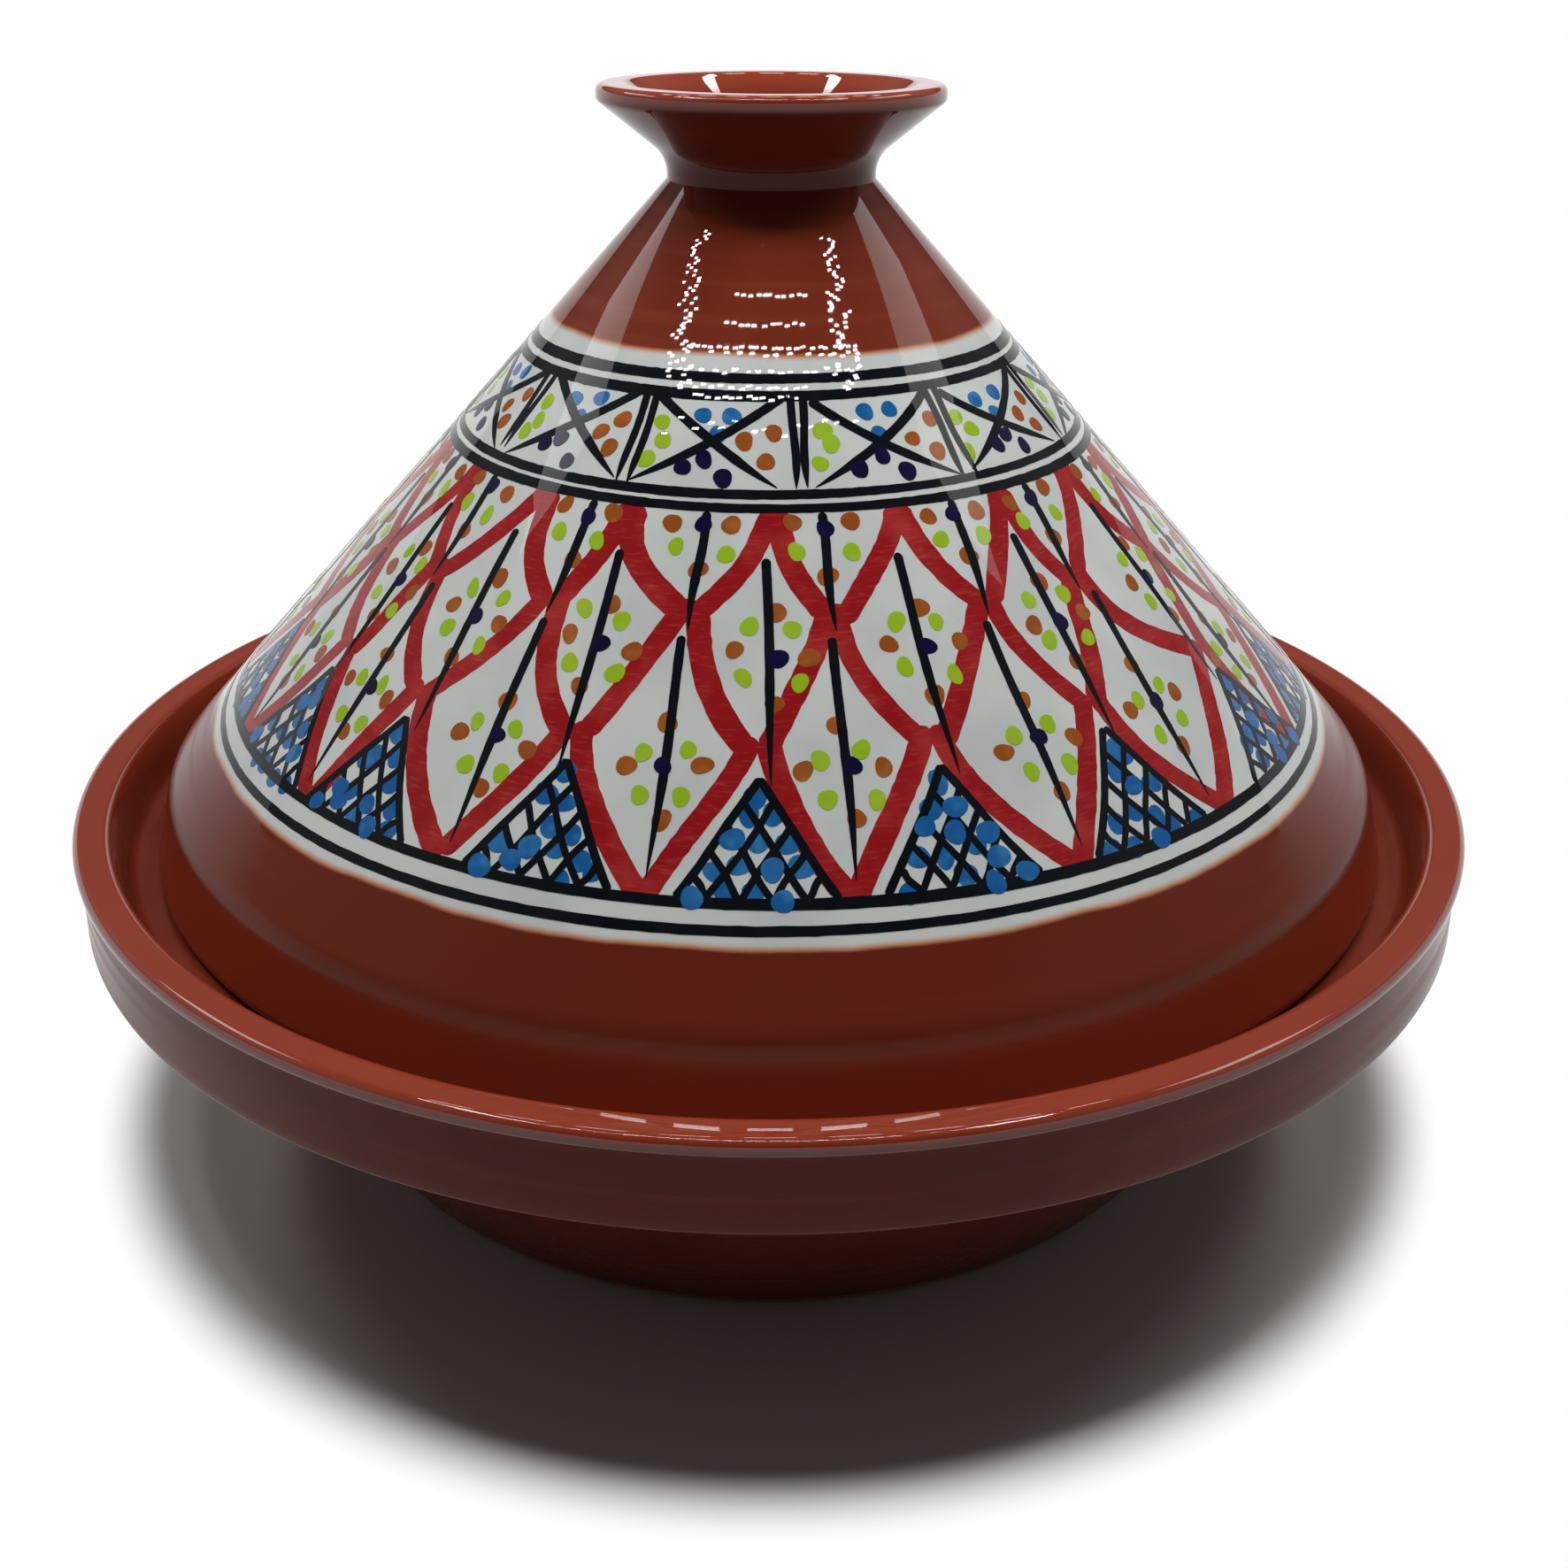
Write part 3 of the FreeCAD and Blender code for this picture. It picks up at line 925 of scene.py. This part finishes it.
# Rows of glints where the photo shows them: radius, first and last angle, number of beads, stray
GLINT_ROWS = [
    (38.5 * MM, -10.0, 10.0, 11, 0.15 * MM),
    (43.0 * MM, -12.0, 8.0, 11, 0.3 * MM),
    (46.5 * MM, -22.0, 21.0, 24, 0.15 * MM),
    (47.5 * MM, -14.0, 21.0, 12, 0.3 * MM),
    (50.0 * MM, -23.0, 20.0, 18, 0.4 * MM),
    (52.5 * MM, -18.0, 7.0, 14, 0.4 * MM),
    (54.0 * MM, -16.0, 5.0, 14, 0.5 * MM),
    (58.5 * MM, -20.0, 16.0, 14, 1.5 * MM),
]
# Chains of glints that run down the lid, as (angle, radius) of their two ends
GLINT_CHAINS = [
    ((-28.0, 28.5 * MM), (-20.0, 53.0 * MM)),
    ((22.0, 28.5 * MM), (16.5, 53.0 * MM)),
]
ROW_STRAY = 0.25
CHAIN_BEADS = 64
CHAIN_STRAY = 3.0
BEAD_LONG = 18 * MM
BEAD_SHORT = 1.3 * MM
BEAD_WATTS = 0.01
# A row of dashes behind, a soft-edged lamp at each side and a ceiling lamp
BACK_DASHES = 9
BACK_LINE = 0.27
DASH_PITCH = 0.065
DASH_SIDE = 0.04
DASH_WATTS = 0.09
SIDE_LAMPS = {"panel_left": (-0.62, 0.27), "panel_right": (0.52, 0.15)}
SIDE_LAMP_WIDE = 0.16
SIDE_LAMP_DEEP = 0.45
SIDE_LAMP_STRENGTH = 15.0
SOFT_STEPS = (0.4, 0.7, 1.0)
SOFT_ENDS = 0.4
CEILING_SPOT = (0.0, -0.08)
CEILING_SIDE = 0.3
CEILING_WATTS = 1.1


def add_lamp(name, middle, along, across, watts, turn=0.0, shines=True):
    """A flat lamp overhead that looks straight down; one that doesn't shine leaves no reflection."""
    lamp = bpy.data.lights.new(name, "AREA")
    lamp.shape = "RECTANGLE"
    lamp.size = along
    lamp.size_y = across
    lamp.energy = watts
    lamp.color = LAMP_COLOUR
    holder = bpy.data.objects.new(name, lamp)
    holder.location = (middle[0], middle[1], LAMP_LEVEL)
    holder.rotation_euler = (0, 0, turn)
    holder.visible_camera = False
    holder.visible_glossy = shines
    bpy.context.scene.collection.objects.link(holder)


def lamp_spot(angle, radius):
    """Where a lamp hangs, so that its glint lies at this place on the lid in the camera's view."""
    place = on_cone(angle, radius)
    bounced = (place - CAMERA_PLACE).normalized().reflect(cone_normal(angle))
    return place + bounced * ((LAMP_LEVEL - place.z) / bounced.z)


def hang_bead(name, angle, radius):
    """One bead light, turned so that its glint lies across the lid and stays small."""
    spot = lamp_spot(angle, radius)
    aside = lamp_spot(angle + 1, radius) - spot
    add_lamp(name, spot, BEAD_LONG, BEAD_SHORT, BEAD_WATTS, math.atan2(aside.y, aside.x))


def build_beads():
    """Bead lights on the frame of the light tent, in rows at the front and chains at the sides."""
    for row, (radius, first, last, count, stray) in enumerate(GLINT_ROWS):
        for k in range(count):
            angle = first + (last - first) * (k + jitter(ROW_STRAY)) / (count - 1)
            hang_bead(f"bead_row_{row}_{k}", angle, radius + jitter(stray))
    for chain, (start, end) in enumerate(GLINT_CHAINS):
        for k in range(CHAIN_BEADS):
            share = k / (CHAIN_BEADS - 1)
            angle = start[0] + (end[0] - start[0]) * share + jitter(CHAIN_STRAY)
            hang_bead(f"bead_chain_{chain}_{k}", angle, start[1] + (end[1] - start[1]) * share)


def add_side_lamp(name, middle):
    """A soft-edged panel: lamps of growing size, one inside the other."""
    for step, share in enumerate(SOFT_STEPS):
        wide = SIDE_LAMP_WIDE * share
        deep = SIDE_LAMP_DEEP * (1 - SOFT_ENDS + SOFT_ENDS * share)
        add_lamp(f"{name}_{step}", middle, wide, deep, SIDE_LAMP_STRENGTH * wide * deep)


def build_lamps():
    """Bead lights, a row of dashes behind, dim panels at the sides and a soft ceiling."""
    build_beads()
    for k in range(BACK_DASHES):
        spot = (DASH_PITCH * (k - BACK_DASHES // 2), BACK_LINE)
        add_lamp(f"dash_back_{k}", spot, DASH_SIDE, DASH_SIDE, DASH_WATTS)
    for name, spot in SIDE_LAMPS.items():
        add_side_lamp(name, spot)
    add_lamp("ceiling", CEILING_SPOT, CEILING_SIDE, CEILING_SIDE, CEILING_WATTS, shines=False)


def build_camera():
    """The photograph's view: seen from a little above and close to."""
    pitch, yaw, roll = map(math.radians, (CAMERA_PITCH, CAMERA_YAW, CAMERA_ROLL))
    aim = Vector((math.sin(yaw) * math.cos(pitch), math.cos(yaw) * math.cos(pitch), -math.sin(pitch)))
    right = Vector((math.cos(yaw), -math.sin(yaw), 0))
    up = right.cross(aim)
    right, up = (right * math.cos(roll) + up * math.sin(roll), up * math.cos(roll) - right * math.sin(roll))
    lens = bpy.data.cameras.new("camera")
    lens.lens = CAMERA_LENS
    lens.sensor_width = CAMERA_SENSOR
    camera = bpy.data.objects.new("camera", lens)
    axes = Matrix((right, up, -aim)).transposed().to_4x4()
    camera.matrix_world = Matrix.Translation(CAMERA_PLACE) @ axes
    bpy.context.scene.collection.objects.link(camera)
    bpy.context.scene.camera = camera


build_floor()
build_world()
build_lamps()
build_camera()
bpy.context.scene.view_settings.view_transform = "Standard"
